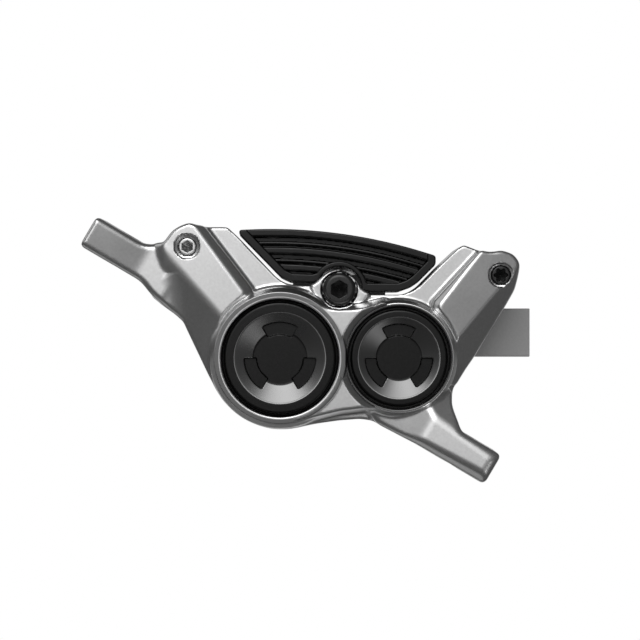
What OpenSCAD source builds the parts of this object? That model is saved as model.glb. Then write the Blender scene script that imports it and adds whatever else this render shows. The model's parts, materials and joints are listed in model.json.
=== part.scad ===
// Four-piston disc brake caliper with post-mount ears, its pads and the flat
// spacer that stands in for the rotor.
// Z points up along the mounting bolts and the ears rest on z = 0. X runs from
// ear to ear. The rotor turns in the plane y = 0, and the outboard side, with
// the two bore caps, looks toward -Y.
// Most pieces are drawn in the piston frame: u along the row of pistons, v
// square to it, y across the rotor. at_pistons() sets that frame in place.

/* [Mount] */
// Distance between the centres of the two mounting slots
mount_pitch = 74; // [73:0.5:76]
// Slot centre to the end of its ear
ear_reach = 8; // [7.5:0.5:9]
// Thickness of an ear
ear_thick = 6.5; // [5.5:0.5:8]
// Width of an ear across the rotor
ear_width = 15; // [14:0.5:16]
// Distance from the rotor plane to the middle of the slots
ear_offset = 11; // [10.5:0.1:11.5]
// Corner radius at the end of an ear
ear_corner = 4; // [2:0.5:5]
// Width of a mounting slot, for an M6 bolt
slot_wide = 6.6; // [6.2:0.1:7]
// Length of a mounting slot across the rotor
slot_long = 10; // [8:0.5:11]

/* [Layout] */
// Angle between the row of pistons and the line of the ears
tilt = 30.6; // [30:0.2:31.2]
// Middle of the piston pair, measured along the ears
pistons_x = 8.76; // [8.4:0.1:9.2]
// Middle of the piston pair, measured up from the mounting faces
pistons_z = 6.75; // [6.4:0.1:7.2]
// Distance between the piston centres
piston_pitch = 22.7; // [22.4:0.1:23]

/* [Pistons] */
// Diameter of the large pistons
piston_large = 17; // [16:0.1:17.2]
// Diameter of the small pistons
piston_small = 15; // [14:0.1:15.2]
// Length of a piston
piston_long = 8.4; // [8:0.1:8.8]
// Wall of a piston's cup
piston_wall = 2.2; // [1.8:0.1:2.6]
// Depth of a piston's cup
piston_cup = 5; // [4:0.5:6]
// Radial running clearance of a piston in its bore
piston_play = 0.05; // [0.03:0.01:0.08]
// Radial height of a square-cut piston seal
seal_tall = 1.9; // [1.6:0.1:2.1]
// Width of a piston seal along the bore
seal_wide = 2.2; // [1.8:0.1:2.4]

/* [Pads] */
// Free space between the two friction faces
rotor_gap = 2.7; // [2.5:0.1:3]
// Thickness of a friction block
friction_thick = 2; // [1.8:0.1:2.2]
// Thickness of a pad plate
plate_thick = 1.8; // [1.6:0.1:2]
// Length of a friction block along the row of pistons
friction_long = 35; // [32:0.5:36]
// Height of a friction block
friction_tall = 16.6; // [15:0.2:17]
// Reach of a pad plate past each end of its friction block
plate_margin = 2; // [1.4:0.1:2.2]
// Height of a pad plate, without its cooler
plate_tall = 19.6; // [18.4:0.2:20]
// Side clearance of the pads in the body
pad_play = 0.35; // [0.3:0.05:0.5]
// Height of the fins across the rotor
fin_deep = 5.8; // [5:0.1:6]
// Thickness of one fin
fin_thick = 1.3; // [1:0.1:1.6]
// Distance from one fin to the next
fin_pitch = 3.2; // [3:0.1:3.4]
// Width of the frame around the fins
fin_frame = 1.6; // [1.3:0.1:1.9]
// Thickness of the pad spring's sheet
spring_sheet = 0.4; // [0.3:0.05:0.5]

/* [Body] */
// Rotor plane to the front of the large cap ring
front_face = 18.5; // [18.3:0.1:19]
// Rotor plane to the back of the piston housings
back_face = 17.5; // [17.2:0.1:18]
// Rotor plane to the flat land beside the window
land_face = 11.5; // [11.3:0.1:12]
// Height of the left tower's outer block above the land
block_rise = 6.5; // [6:0.1:6.7]
// Lean of the left ear's front toward its root
ear_lean = 6.6; // [5:0.2:7.4]
// Rotor plane to the back of the towers
tower_back = 13; // [12.5:0.1:13.4]
// Width of the slot that the rotor turns in
rotor_slot = 5; // [4.6:0.1:5.4]
// Wall of a piston housing outside its cap recess
housing_wall = 2.5; // [2.2:0.1:2.8]
// Width of the flat silver ring around a cap recess
ring_flat = 1.3; // [1:0.1:1.6]

/* [Caps] */
// Diameter of the large bore cap
cap_large = 21.4; // [21.2:0.1:21.6]
// Diameter of the small bore cap
cap_small = 18.6; // [18.4:0.1:18.8]
// Gap between a cap's edge and its recess
cap_gap = 0.5; // [0.4:0.05:0.6]
// Depth that a cap lies below its ring
cap_sink = 0.4; // [0.2:0.1:0.6]
// Thickness of a cap's flange
cap_flange = 1.9; // [1.8:0.1:2.2]
// Depth of the dish in a cap
dish_deep = 0.9; // [0.6:0.1:1]
// Depth of a tool pocket below the dish's floor
pocket_deep = 1; // [0.6:0.1:1.1]
// Angle that a tool pocket spans
pocket_span = 60; // [50:1:70]

/* [Fasteners] */
// Diameter of the pad axle
axle_d = 4; // [3.8:0.1:4.2]
// Diameter of the pad axle's head
axle_head = 6.4; // [6:0.1:6.6]
// Hex socket in the pad axle, across flats
axle_hex = 3; // [2.5:0.1:3.2]
// Diameter of the plug screw in the left tower
plug_d = 3.4; // [3.2:0.1:3.6]
// Hex socket in the plug screw, across flats
plug_hex = 2; // [1.5:0.1:2.2]
// Diameter of the bleed screw in the right tower
bleed_d = 3.6; // [3.4:0.1:3.8]
// Six-lobe socket in the bleed screw, over its points
bleed_star = 2.8; // [2.4:0.1:2.9]
// Diameter of the tapped hose port at its threads' crests
port_d = 7.2; // [7:0.1:7.4]
// Depth of the hose port
port_deep = 11; // [9:0.5:11.5]
// Diameter of the oil drillings
drill_d = 1.6; // [1.2:0.1:2]

/* [Spacer] */
// Thickness of the spacer, that of the rotor it stands in for
spacer_thick = 1.8; // [1.6:0.1:2]
// Height of the spacer
spacer_tall = 9.5; // [9:0.1:9.6]
// Length of the spacer
spacer_long = 54; // [52:0.5:56]
// Reach of the spacer past the middle of the pistons
spacer_reach = 37.5; // [36:0.1:38]

/* [Hidden] */
$fn = 48;

// Places along the row of pistons
large_u = -piston_pitch / 2;
small_u = piston_pitch / 2;

// Planes across the rotor, as distances from it
friction_face = rotor_gap / 2;
plate_inner = friction_face + friction_thick;
plate_outer = plate_inner + plate_thick;
pocket_half = plate_outer + pad_play;
piston_back = plate_outer + piston_long;
seal_near = plate_outer + 2.9;
relief_near = seal_near + seal_wide + 0.6;
relief_far = relief_near + 1.7;
bore_end = piston_back + 1.6;
plate_long = friction_long + 2 * plate_margin;
cap_face = front_face - cap_sink;
cap_seat = cap_face - cap_flange;
cap_floor = piston_back + 1.1;
small_drop = 1.3;
web_drop = 0.3;
block_face = land_face + block_rise;
ear_near = ear_offset - ear_width / 2;
ear_far = ear_offset + ear_width / 2;

// Radial height of the oil relief behind a seal
relief_tall = 0.7;

// Radii of the stepped outboard bores, each from the size of its cap
function recess_r(cap) = cap / 2 + cap_gap;
function thread_r(cap) = cap / 2 - 0.5;
function housing_r(cap) = recess_r(cap) + housing_wall;

// Radial gap of pieces that are screwed or pressed together
fit_gap = 0.03;

// The pad axle lies square above the middle of the pistons
axle_v = 13.1;
boss_r = 4;
axle_hole = axle_d + 0.1;
clip_wide = 1;
clip_r = axle_d / 2 + 1.3;
head_sink = 1.5;

// Pad spring: widths of its loop, arms and legs, and what it clears
loop_wide = 6;
loop_rise = 3.6;
leg_wide = 1.2;
leg_drop = 5;
head_wide = 10;
spring_clear = 0.5;

// Screw places in the towers
plug_at = [-29, 21.2];
bleed_at = [30.9, 15.8];
bleed_boss = bleed_at + [-0.4, 0.5];
screw_boss_r = 4.3;
plug_face = block_face - 0.8;
bleed_face = block_face - small_drop - 2;
seat_r = 2.35;
ring_near = 2.2;
ring_wide = 0.8;
plug_long = 9;
bleed_long = 8;
socket_deep = 1.6;

// Hose port, placed from the ears like the mount itself
port_x = 24.5;
port_y = 7.5;
port_z = 38;
port_boss_r = port_d / 2 + 1.7;

// Outline of the towers and of the middle between them, in u and v
tower_outline = [[-21.8, 25.2], [-27, 25.1], [-31.9, 24.2], [-33.6, 21.9],
    [-36.5, 21.8], [-37.2, 14.6], [-36, 12], [-33.5, 10], [-30.6, 7.8], [-29, 5],
    [-25, -3.5], [-20, -8], [0, -12.3], [18, -8.5], [21.5, -7.5], [22, -6],
    [24.3, -2.3], [32, 10], [34.3, 15.5], [34.6, 17.5], [31, 20], [29.5, 20.3],
    [28, 20.3], [25, 21.5], [23.8, 21.9], [22, 26]];

// Left and right sides of the window that the pads drop in through
window_outline = [[-22.4, 26.5], [-12.5, 15.8], [-11.3, 14.8], [-10, 14.2],
    [-8, 13.9], [-5, 13.5], [5, 12.1], [12, 12.1], [14, 12.8], [15.5, 13.8],
    [19.2, 17.6], [23.5, 21.5], [27, 30], [-22, 30]];

// Raised outer blocks of the towers
block_left = [[-26.2, 25.1], [-31.9, 24.2], [-33.2, 21.5], [-30.4, 16.9], [-34, 10.5],
    [-33.5, 10], [-30.6, 7.8], [-29, 5], [-25, -3.5], [-20, -3.5], [-20, 8], [-16.8, 13.4]];
block_right = [[28.1, 20.3], [18.2, 11.1], [18.6, 6.5], [20.5, 2.5], [21, -4], [24.3, -2.3],
    [32, 10], [34.3, 15.5], [34.6, 17.5], [31, 20], [29.5, 20.3]];

// Edges of the facets: inner ones, chamfered toward the land, and outer ones, where
// a flank falls away
inner_left = [[-18, 12.4], [-28.2, 25.1]];
inner_right = [[29.5, 20.3], [19, 10.2]];
flank_left = [[-27.2, 13.4], [-23, 8]];
flank_right = [[23, 3.5], [29.5, 13]];

// The facets lean outward from this distance along the row of pistons
lean_from = 19;

// Front web between the two cap rings
web_outline = [[-9, 11.6], [-5, 10.4], [0, 9], [5, 9.4], [9, 10.6], [9, -9.6],
    [5, -9.4], [0, -10], [-5, -11.2], [-9, -12.4]];

// The right ear leans less, and its root falls away from a distance past the slot
right_lean = 2.5;
root_start = 6;
root_fall = 17;

// The fins follow arcs round this point
fin_centre = [-13, -74];
fin_top_r = 98.8;
fin_rows = 3;
fin_front = plate_outer + fin_deep;

// Places a shape in the piston frame
module at_pistons() {
    translate([pistons_x, 0, pistons_z]) rotate([0, -tilt, 0]) children();
}

// A flat shape in u and v, thickened from y0 to y1
module slab(y0, y1) {
    translate([0, y1, 0]) rotate([90, 0, 0]) linear_extrude(y1 - y0) children();
}

// A round bar from y0 to y1
module bar(r, y0, y1, u = 0, v = 0) {
    translate([u, y0, v]) rotate([-90, 0, 0]) cylinder(r = r, h = y1 - y0);
}

// A ring from y0 to y1
module tube(r_in, r_out, y0, y1, u = 0, v = 0) {
    difference() {
        bar(r_out, y0, y1, u, v);
        bar(r_in, y0 - 1, y1 + 1, u, v);
    }
}

// A turned shape: its profile gives radius and y
module turned(profile, u = 0, v = 0) {
    translate([u, 0, v]) rotate([-90, 0, 0]) rotate_extrude() polygon(profile);
}

// A drilling between two points in the piston frame
module drilling(from, to) {
    along = to - from;
    long = norm(along);
    turn = atan2(along[1], along[0]);
    drop = acos(along[2] / long);
    translate(from) rotate([0, drop, turn]) cylinder(d = drill_d, h = long);
}

// One housing with chamfered front and back, front and back given as planes
module housing(cap, u, front) {
    r = housing_r(cap);
    flat = recess_r(cap) + ring_flat;
    turned([[0, -front], [flat, -front], [r, -front + 3], [r, back_face - 2.5],
        [r - 2.5, back_face], [0, back_face]], u);
}

// The stepped bore on the outboard side and the blind one on the inboard side
module bores(cap, piston, u) {
    r = piston / 2 + piston_play;
    bar(recess_r(cap), -front_face - 1, -cap_seat + 1.3, u);
    bar(thread_r(cap), -cap_seat, -relief_far, u);
    bar(r, -relief_far - 1, bore_end, u);
    for (side = [-1, 1]) {
        groove = [side * seal_near, side * (seal_near + seal_wide)];
        bar(piston / 2 + seal_tall, min(groove), max(groove), u);
        relief = [side * relief_near, side * relief_far];
        bar(r + relief_tall, min(relief), max(relief), u);
    }
}

// An ear and its root: side profile, plan with round corners, bolt slot
module ear(side) {
    x = side * mount_pitch / 2;
    left_root = [[-ear_reach, 0], [5.7, 0], [8.7, -1.2], [11.8, -1.7], [17, -2.3],
        [21, 2], [16, 10], [6, 8.5], [2.7, ear_thick], [-ear_reach, ear_thick]];
    right_root = [[-ear_reach, 0], [7.6, 0], [15.8, -0.5], [19, 8], [6.5, 12.5],
        [5.2, 9.9], [2.5, 7.7], [1.1, ear_thick], [-ear_reach, ear_thick]];
    root = side < 0 ? left_root : right_root;
    difference() {
        intersection() {
            translate([x, 0, 0]) mirror([side > 0 ? 1 : 0, 0, 0]) slab(-ear_far, -ear_near)
                polygon(root);
            translate([x, -ear_offset, -10]) mirror([side > 0 ? 1 : 0, 0, 0])
                linear_extrude(30) ear_plan();
        }
        translate([x, 0, 0]) mirror([side > 0 ? 1 : 0, 0, 0]) {
            root_slope(-ear_reach, side < 0 ? ear_lean : right_lean);
            if (side > 0) root_slope(root_start, root_fall);
        }
    }
}

// Plan of an ear, slot centre at the origin and its end toward -X
module ear_plan() {
    half = ear_width / 2;
    for (s = [-1, 1])
        translate([-ear_reach + ear_corner, s * (half - ear_corner)]) circle(r = ear_corner);
    translate([-ear_reach, -half + ear_corner]) square([40, ear_width - 2 * ear_corner]);
    translate([-ear_reach + ear_corner, -half]) square([40, ear_width]);
}

// Cuts the front of an ear back toward its tower, from a distance past the slot
module root_slope(start, angle) {
    translate([start, -ear_far, -20]) rotate([0, 0, angle]) translate([0, -20, 0]) cube([50, 20, 60]);
}

// A bolt slot through an ear
module bolt_slot(side) {
    half = (slot_long - slot_wide) / 2;
    translate([side * mount_pitch / 2, -ear_offset, -1]) {
        for (s = [-1, 1]) translate([0, s * half, 0]) cylinder(d = slot_wide, h = ear_thick + 12);
        translate([-slot_wide / 2, -half, 0]) cube([slot_wide, 2 * half, ear_thick + 12]);
    }
}

// Everything behind a plane that falls away outside a line at some height
module falling(line, face, angle) {
    way = line[1] - line[0];
    translate([line[0][0], -face, line[0][1]]) rotate([angle, -atan2(way[1], way[0]), 0])
        translate([-60, 0, -60]) cube([120, 60, 120]);
}

// The raised block of a tower, with a facet that leans outward and a flank beyond it
module tower_block(outline, screw_at, face, lean, inner, outer, tilt) {
    intersection() {
        slab(-face, -land_face + 1) {
            polygon(outline);
            translate(screw_at) circle(r = screw_boss_r);
        }
        translate([sign(lean) * lean_from, -face, 10]) rotate([0, 0, lean])
            translate([-40, 0, -40]) cube([80, 40, 80]);
        falling(inner, face, 45);
        falling(outer, face - abs(lean) / 9, tilt);
    }
}

// Leaves a groove between a block and the housing beside it
module ring_groove(cap, u, front) {
    r = housing_r(cap);
    turned([[0, -front - 1], [r + 0.9, -front - 1], [r + 0.5, -front + 0.5], [r - 0.3, -front + 2],
        [0, -front + 2]], u);
}

// The body before its bores are cut
module body_blank() {
    difference() {
        union() {
            slab(-land_face, tower_back) polygon(tower_outline);
            housing(cap_large, large_u, front_face);
            housing(cap_small, small_u, front_face - small_drop);
            difference() {
                slab(-front_face + web_drop, -land_face + 1) polygon(web_outline);
                bar(recess_r(cap_small) + 0.4, -front_face - 1, -front_face + small_drop, small_u);
            }
            slab(tower_back - 1, back_face - 1) polygon(web_outline);
            difference() {
                tower_block(block_left, plug_at, block_face, -2, inner_left, flank_left, 16);
                ring_groove(cap_large, large_u, front_face);
            }
            difference() {
                tower_block(block_right, bleed_boss, block_face - small_drop, 8, inner_right,
                    flank_right, 42);
                ring_groove(cap_small, small_u, front_face - small_drop);
            }
            bar(screw_boss_r, -land_face, tower_back - 2, plug_at[0], plug_at[1]);
            bar(screw_boss_r, -land_face, tower_back - 2, bleed_boss[0], bleed_boss[1]);
        }
        slab(-front_face, back_face) polygon(window_outline);
    }
    for (y = [-land_face - 1, pocket_half])
        bar(boss_r, y, y + land_face + 1 - pocket_half, 0, axle_v);
}

// Cuts in the piston frame
module body_cuts() {
    bores(cap_large, piston_large, large_u);
    bores(cap_small, piston_small, small_u);
    pocket_u = plate_long / 2 + pad_play;
    pocket_v = plate_tall / 2 + pad_play;
    translate([-pocket_u, -pocket_half, -pocket_v]) cube([2 * pocket_u, 2 * pocket_half, 50]);
    translate([-60, -rotor_slot / 2, -60]) cube([120, rotor_slot, 60 + spacer_tall + 0.7]);
    bar(axle_hole / 2, -front_face, back_face, 0, axle_v);
    bar(axle_head / 2 + 0.4, -front_face, -land_face + head_sink, 0, axle_v);
    bar(clip_r + 0.5, land_face + 1, back_face, 0, axle_v);
    screw_seat(plug_d, plug_at, plug_face);
    screw_seat(bleed_d, bleed_at, bleed_face);
    bar(plug_d / 2 + fit_gap, -front_face, -3, plug_at[0], plug_at[1]);
    bar(bleed_d / 2 + fit_gap, -front_face, -4, bleed_at[0], bleed_at[1]);
    oilways();
}

// The mouth of a screw hole, with a conical seat and a groove for the sealing ring
module screw_seat(d, at, face) {
    r = d / 2 + fit_gap;
    turned([[0, -front_face], [seat_r, -front_face], [seat_r, -face], [r, -face + 1],
        [0, -face + 1]], at[0], at[1]);
    bar(seat_r, -face + ring_near - 0.05, -face + ring_near + ring_wide + 0.05, at[0], at[1]);
}

// Oil drillings: crossover, both links to it, bleed link, feed and bore links
module oilways() {
    mid = (relief_near + relief_far) / 2;
    drilling([plug_at[0], -4, plug_at[1]], [plug_at[0], 10.4, plug_at[1]]);
    drilling([plug_at[0], -7, plug_at[1]], [large_u - 6.2, -mid, 7]);
    drilling([plug_at[0], 8.6, plug_at[1]], [large_u - 6.2, mid, 7]);
    drilling([bleed_at[0], -5, bleed_at[1]], [small_u + 6.4, -mid, 5]);
    drilling([24, port_y, 10], [small_u + 6.4, mid, 5]);
    for (y = [-mid, mid]) drilling([large_u + piston_large / 2, y, 0], [small_u - piston_small / 2, y, 0]);
}

module caliper_body() {
    color("silver") difference() {
        union() {
            difference() {
                union() {
                    at_pistons() body_blank();
                    for (side = [-1, 1]) ear(side);
                }
                for (side = [-1, 1]) bolt_slot(side);
            }
            translate([port_x, port_y, port_z - port_deep - 4])
                cylinder(r = port_boss_r, h = port_deep + 4);
        }
        at_pistons() body_cuts();
        translate([port_x, port_y, port_z - port_deep]) cylinder(d = port_d, h = port_deep + 5);
        translate([port_x, port_y, port_z]) cylinder(r = port_boss_r, h = 5);
    }
}

// A screwed cap: flange, dish, tool pockets and a cup round the piston's tail
module bore_cap(cap, piston, u, drop) {
    r = cap / 2;
    face = -cap_face + drop;
    neck = thread_r(cap) - fit_gap;
    cup = piston / 2 + 0.4;
    disc = r * 0.47;
    difference() {
        turned([[0, -cap_floor], [cup, -cap_floor], [cup, -relief_far], [neck, -relief_far],
            [neck, -cap_seat], [r, -cap_seat], [r, face + 0.4], [r - 0.4, face],
            [r * 0.82, face], [disc, face + dish_deep], [0, face + dish_deep]], u);
        for (a = [90, 210, 330]) tool_pocket(r, u, a, face + dish_deep);
    }
}

// One curved tool pocket of a cap, cut from the dish's floor
module tool_pocket(r, u, a, floor_y) {
    reach = r;
    half = pocket_span / 2;
    intersection() {
        tube(r * 0.42, r * 0.65, floor_y - dish_deep, floor_y + pocket_deep, u);
        slab(floor_y - 2, floor_y + 2) translate([u, 0])
            polygon([[0, 0], for (s = [-1, 0, 1]) reach * [cos(a + s * half), sin(a + s * half)]]);
    }
}

module bore_cap_large() {
    color("#26272a") at_pistons() bore_cap(cap_large, piston_large, large_u, 0);
}

module bore_cap_small() {
    color("#26272a") at_pistons() bore_cap(cap_small, piston_small, small_u, small_drop);
}

// A round seal ring between a cap's neck and its recess
module cap_ring(cap, u) {
    wire = (recess_r(cap) - thread_r(cap)) / 2;
    at_pistons() translate([u, -cap_seat + 0.75, 0]) rotate([-90, 0, 0]) rotate_extrude()
        translate([thread_r(cap) + wire, 0]) circle(r = wire - 0.04);
}

module cap_seal_large() {
    color("#111111") cap_ring(cap_large, large_u);
}

module cap_seal_small() {
    color("#111111") cap_ring(cap_small, small_u);
}

// A cup-shaped piston, open toward its pad; side is -1 outboard, 1 inboard
module piston(d, u, side) {
    r = d / 2;
    bevel = 0.5;
    profile = [[r - piston_wall, plate_outer], [r - 0.3, plate_outer], [r, plate_outer + 0.3],
        [r, piston_back - bevel], [r - bevel, piston_back], [0, piston_back],
        [0, plate_outer + piston_cup], [r - piston_wall, plate_outer + piston_cup]];
    at_pistons() turned([for (p = profile) [p[0], side * p[1]]], u);
}

module piston_large_outboard() {
    color("#d8d4c8") piston(piston_large, large_u, -1);
}

module piston_small_outboard() {
    color("#d8d4c8") piston(piston_small, small_u, -1);
}

module piston_large_inboard() {
    color("#d8d4c8") piston(piston_large, large_u, 1);
}

module piston_small_inboard() {
    color("#d8d4c8") piston(piston_small, small_u, 1);
}

// A square-cut seal in its groove
module piston_seal(d, u, side) {
    near = side * (seal_near + 0.05);
    far = side * (seal_near + seal_wide - 0.05);
    at_pistons() tube(d / 2 + fit_gap, d / 2 + seal_tall - fit_gap, min(near, far), max(near, far), u);
}

module piston_seal_large_outboard() {
    color("#1c1c1c") piston_seal(piston_large, large_u, -1);
}

module piston_seal_small_outboard() {
    color("#1c1c1c") piston_seal(piston_small, small_u, -1);
}

module piston_seal_large_inboard() {
    color("#1c1c1c") piston_seal(piston_large, large_u, 1);
}

module piston_seal_small_inboard() {
    color("#1c1c1c") piston_seal(piston_small, small_u, 1);
}

// The window's outline drawn in by the fins' clearance, topped by an arc
module fin_field(inset) {
    intersection() {
        translate(fin_centre) circle(r = fin_top_r - inset, $fn = 180);
        difference() {
            polygon([[-19.3 + inset, 27], [-19.3 + inset, 23.6 + inset * 0.4],
                [-11.4 + inset * 0.7, 15.5 + inset], [-9.5, 14.6 + inset], [-5, 14.4 + inset],
                [0, 16], [5, 12.7 + inset], [11.6, 12.7 + inset],
                [13.6 - inset * 0.5, 13.4 + inset], [15.1 - inset, 14.4 + inset * 0.7],
                [18.6 - inset, 17.9 + inset * 0.4], [18.6 - inset, 27]]);
            translate([0, axle_v]) circle(r = boss_r + 0.35 + inset * 0.6);
        }
    }
}

// A pad plate: brake area, neck with the axle hole and the root of the cooler
module pad_plate(side) {
    at_pistons() mirror([0, side > 0 ? 1 : 0, 0]) slab(-plate_outer, -plate_inner) difference() {
        union() {
            translate([-plate_long / 2, -plate_tall / 2]) square([plate_long, plate_tall]);
            fin_field(0);
            translate([-9, 8]) square([18, 8]);
        }
        translate([0, axle_v]) circle(d = axle_d + 0.6);
        for (s = [-1, 1]) translate([s * plate_long / 2, -plate_tall / 2]) rotate(45)
            square(3, center = true);
    }
}

// The finned cooler on the outer face of a pad plate
module pad_cooler(side) {
    at_pistons() mirror([0, side > 0 ? 1 : 0, 0]) {
        slab(-plate_outer - 1, -plate_outer) fin_field(0);
        slab(-fin_front, -plate_outer - 1) {
            difference() {
                fin_field(0);
                fin_field(fin_frame);
            }
            for (i = [0:fin_rows - 1]) intersection() {
                fin_field(0);
                fin_arc(fin_top_r - i * fin_pitch);
            }
        }
    }
}

// One arched fin, by its outer radius
module fin_arc(r) {
    translate(fin_centre) difference() {
        circle(r = r, $fn = 180);
        circle(r = r - fin_thick, $fn = 180);
    }
}

module pad_plate_outboard() {
    color("#3a3a3c") pad_plate(-1);
}

module pad_plate_inboard() {
    color("#3a3a3c") pad_plate(1);
}

module pad_cooler_outboard() {
    color("#151516") pad_cooler(-1);
}

module pad_cooler_inboard() {
    color("#151516") pad_cooler(1);
}

// A friction block with a slot down its middle
module friction_block(side) {
    at_pistons() mirror([0, side > 0 ? 1 : 0, 0]) slab(-plate_inner, -friction_face) difference() {
        square([friction_long, friction_tall], center = true);
        square([1.6, friction_tall + 2], center = true);
    }
    at_pistons() mirror([0, side > 0 ? 1 : 0, 0]) slab(-plate_inner, -plate_inner + 0.6)
        square([2, friction_tall - 0.4], center = true);
}

module friction_block_outboard() {
    color("#4b4640") friction_block(-1);
}

module friction_block_inboard() {
    color("#4b4640") friction_block(1);
}

// One leaf of the pad spring: head round the axle, arms and legs
module spring_leaf() {
    arm_v = friction_tall / 2 + spring_clear;
    leg_u = friction_long / 2 + spring_clear;
    difference() {
        union() {
            translate([-head_wide / 2, arm_v]) square([head_wide, axle_v - arm_v + loop_rise]);
            translate([-leg_u - leg_wide, arm_v]) square([2 * (leg_u + leg_wide), leg_wide]);
            for (s = [-1, 1]) translate([s * (leg_u + leg_wide / 2) - leg_wide / 2, -leg_drop])
                square([leg_wide, arm_v + leg_drop + leg_wide / 2]);
        }
        translate([0, axle_v]) circle(d = axle_d + 0.8);
    }
}

module pad_spring() {
    outer = plate_inner - 0.05;
    top_v = axle_v + loop_rise;
    color("#c9cacc") at_pistons() {
        for (s = [-1, 1]) {
            planes = [s * outer, s * (outer - spring_sheet)];
            slab(min(planes), max(planes)) spring_leaf();
        }
        intersection() {
            translate([-loop_wide / 2, 0, top_v]) rotate([0, 90, 0]) difference() {
                cylinder(r = outer, h = loop_wide);
                translate([0, 0, -1]) cylinder(r = outer - spring_sheet, h = loop_wide + 2);
            }
            translate([-10, -10, top_v]) cube(20);
        }
    }
}

// The pad axle: head with a hex socket, shank and clip groove
module pad_axle() {
    head_top = land_face + 1.2;
    head_seat = land_face - head_sink;
    tip = land_face + 2.2;
    color("#141414") at_pistons() difference() {
        union() {
            bar(axle_head / 2, -head_top, -head_seat, 0, axle_v);
            bar(axle_d / 2, -head_seat - 1, tip, 0, axle_v);
        }
        bar(axle_hex / sqrt(3), -head_top - 1, -head_top + 2, 0, axle_v, $fn = 6);
        tube(axle_d / 2 - 0.5, axle_d, land_face + 1.05, land_face + 1.05 + clip_wide, 0, axle_v);
    }
}

// The spring clip in the axle's groove, open on one side
module axle_clip() {
    near = land_face + 1.08;
    color("#b8b8b8") at_pistons() difference() {
        tube(axle_d / 2 - 0.5 + fit_gap, clip_r, near, near + clip_wide - 0.06, 0, axle_v);
        translate([-1.1, near - 1, axle_v]) cube([2.2, 3, 6]);
    }
}

// A small tower screw: sunk head, thread and the socket cut into it
module tower_screw(d, at, face, length) {
    head = face - 0.3;
    at_pistons() difference() {
        bar(d / 2, -head, -head + length, at[0], at[1]);
        translate([at[0], -head, at[1]]) rotate([-90, 0, 0]) translate([0, 0, -1])
            linear_extrude(1 + socket_deep) children();
    }
}

module plug_screw() {
    color("silver") tower_screw(plug_d, plug_at, plug_face, plug_long)
        circle(d = plug_hex * 2 / sqrt(3), $fn = 6);
}

module bleed_screw() {
    color("#1b1b1b") tower_screw(bleed_d, bleed_at, bleed_face, bleed_long) difference() {
        circle(d = bleed_star);
        for (a = [0:60:300]) rotate(a) translate([bleed_star * 0.56, 0]) circle(d = bleed_star * 0.34);
    }
}

// The sealing ring round a tower screw's neck
module tower_ring(d, at, face) {
    near = -face + ring_near;
    at_pistons() tube(d / 2 + fit_gap, seat_r - 0.05, near, near + ring_wide, at[0], at[1]);
}

module plug_seal() {
    color("#111111") tower_ring(plug_d, plug_at, plug_face);
}

module bleed_seal() {
    color("#111111") tower_ring(bleed_d, bleed_at, bleed_face);
}

// The spacer: a flat plate with a round inner end
module pad_spacer() {
    color("#8c8d8f") at_pistons() slab(-spacer_thick / 2, spacer_thick / 2) {
        translate([spacer_reach - spacer_long + spacer_tall / 2, 0])
            square([spacer_long - spacer_tall / 2, spacer_tall]);
        translate([spacer_reach - spacer_long + spacer_tall / 2, spacer_tall / 2])
            circle(d = spacer_tall);
    }
}

caliper_body();
bore_cap_large();
bore_cap_small();
cap_seal_large();
cap_seal_small();
piston_large_outboard();
piston_small_outboard();
piston_large_inboard();
piston_small_inboard();
piston_seal_large_outboard();
piston_seal_small_outboard();
piston_seal_large_inboard();
piston_seal_small_inboard();
pad_plate_outboard();
pad_plate_inboard();
friction_block_outboard();
friction_block_inboard();
pad_cooler_outboard();
pad_cooler_inboard();
pad_spring();
pad_axle();
axle_clip();
plug_screw();
plug_seal();
bleed_screw();
bleed_seal();
pad_spacer();
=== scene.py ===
import json
import math

import bpy
import numpy as np
from mathutils import Matrix, Vector


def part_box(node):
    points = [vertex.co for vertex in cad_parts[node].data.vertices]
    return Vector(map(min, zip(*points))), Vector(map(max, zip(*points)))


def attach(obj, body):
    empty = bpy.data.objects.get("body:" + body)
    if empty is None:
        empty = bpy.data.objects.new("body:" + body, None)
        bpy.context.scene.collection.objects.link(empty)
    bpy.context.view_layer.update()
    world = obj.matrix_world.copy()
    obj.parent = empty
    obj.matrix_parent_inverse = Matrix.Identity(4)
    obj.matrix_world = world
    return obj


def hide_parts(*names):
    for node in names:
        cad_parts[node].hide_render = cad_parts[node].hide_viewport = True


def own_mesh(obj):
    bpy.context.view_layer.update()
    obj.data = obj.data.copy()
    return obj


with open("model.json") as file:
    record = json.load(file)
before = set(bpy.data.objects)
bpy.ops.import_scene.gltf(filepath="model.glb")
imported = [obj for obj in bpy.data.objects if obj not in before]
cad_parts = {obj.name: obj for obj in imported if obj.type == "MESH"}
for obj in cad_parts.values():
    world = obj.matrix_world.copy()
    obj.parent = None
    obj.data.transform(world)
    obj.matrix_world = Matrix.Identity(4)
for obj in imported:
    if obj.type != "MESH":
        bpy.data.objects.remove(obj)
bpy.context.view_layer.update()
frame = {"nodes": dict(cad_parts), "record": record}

# Lengths below are in millimetres. The shared frame has x from ear to ear, y across the rotor and z up. The
# shapes are drawn in the piston frame: u along the row of pistons, v square to it, h toward the camera.
MM = 0.001


def middle(node):
    """Middle of a node in the shared frame, in millimetres."""
    low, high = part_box(node)
    return (low + high) / 2 / MM


large_cap = middle("bore_cap_large")
small_cap = middle("bore_cap_small")
TILT = math.atan2(small_cap.z - large_cap.z, small_cap.x - large_cap.x)
COS = math.cos(TILT)
SIN = math.sin(TILT)
MID_X = (large_cap.x + small_cap.x) / 2
MID_Z = (large_cap.z + small_cap.z) / 2
LARGE_U = (large_cap.x - small_cap.x) / 2 / COS
SMALL_U = -LARGE_U


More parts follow.
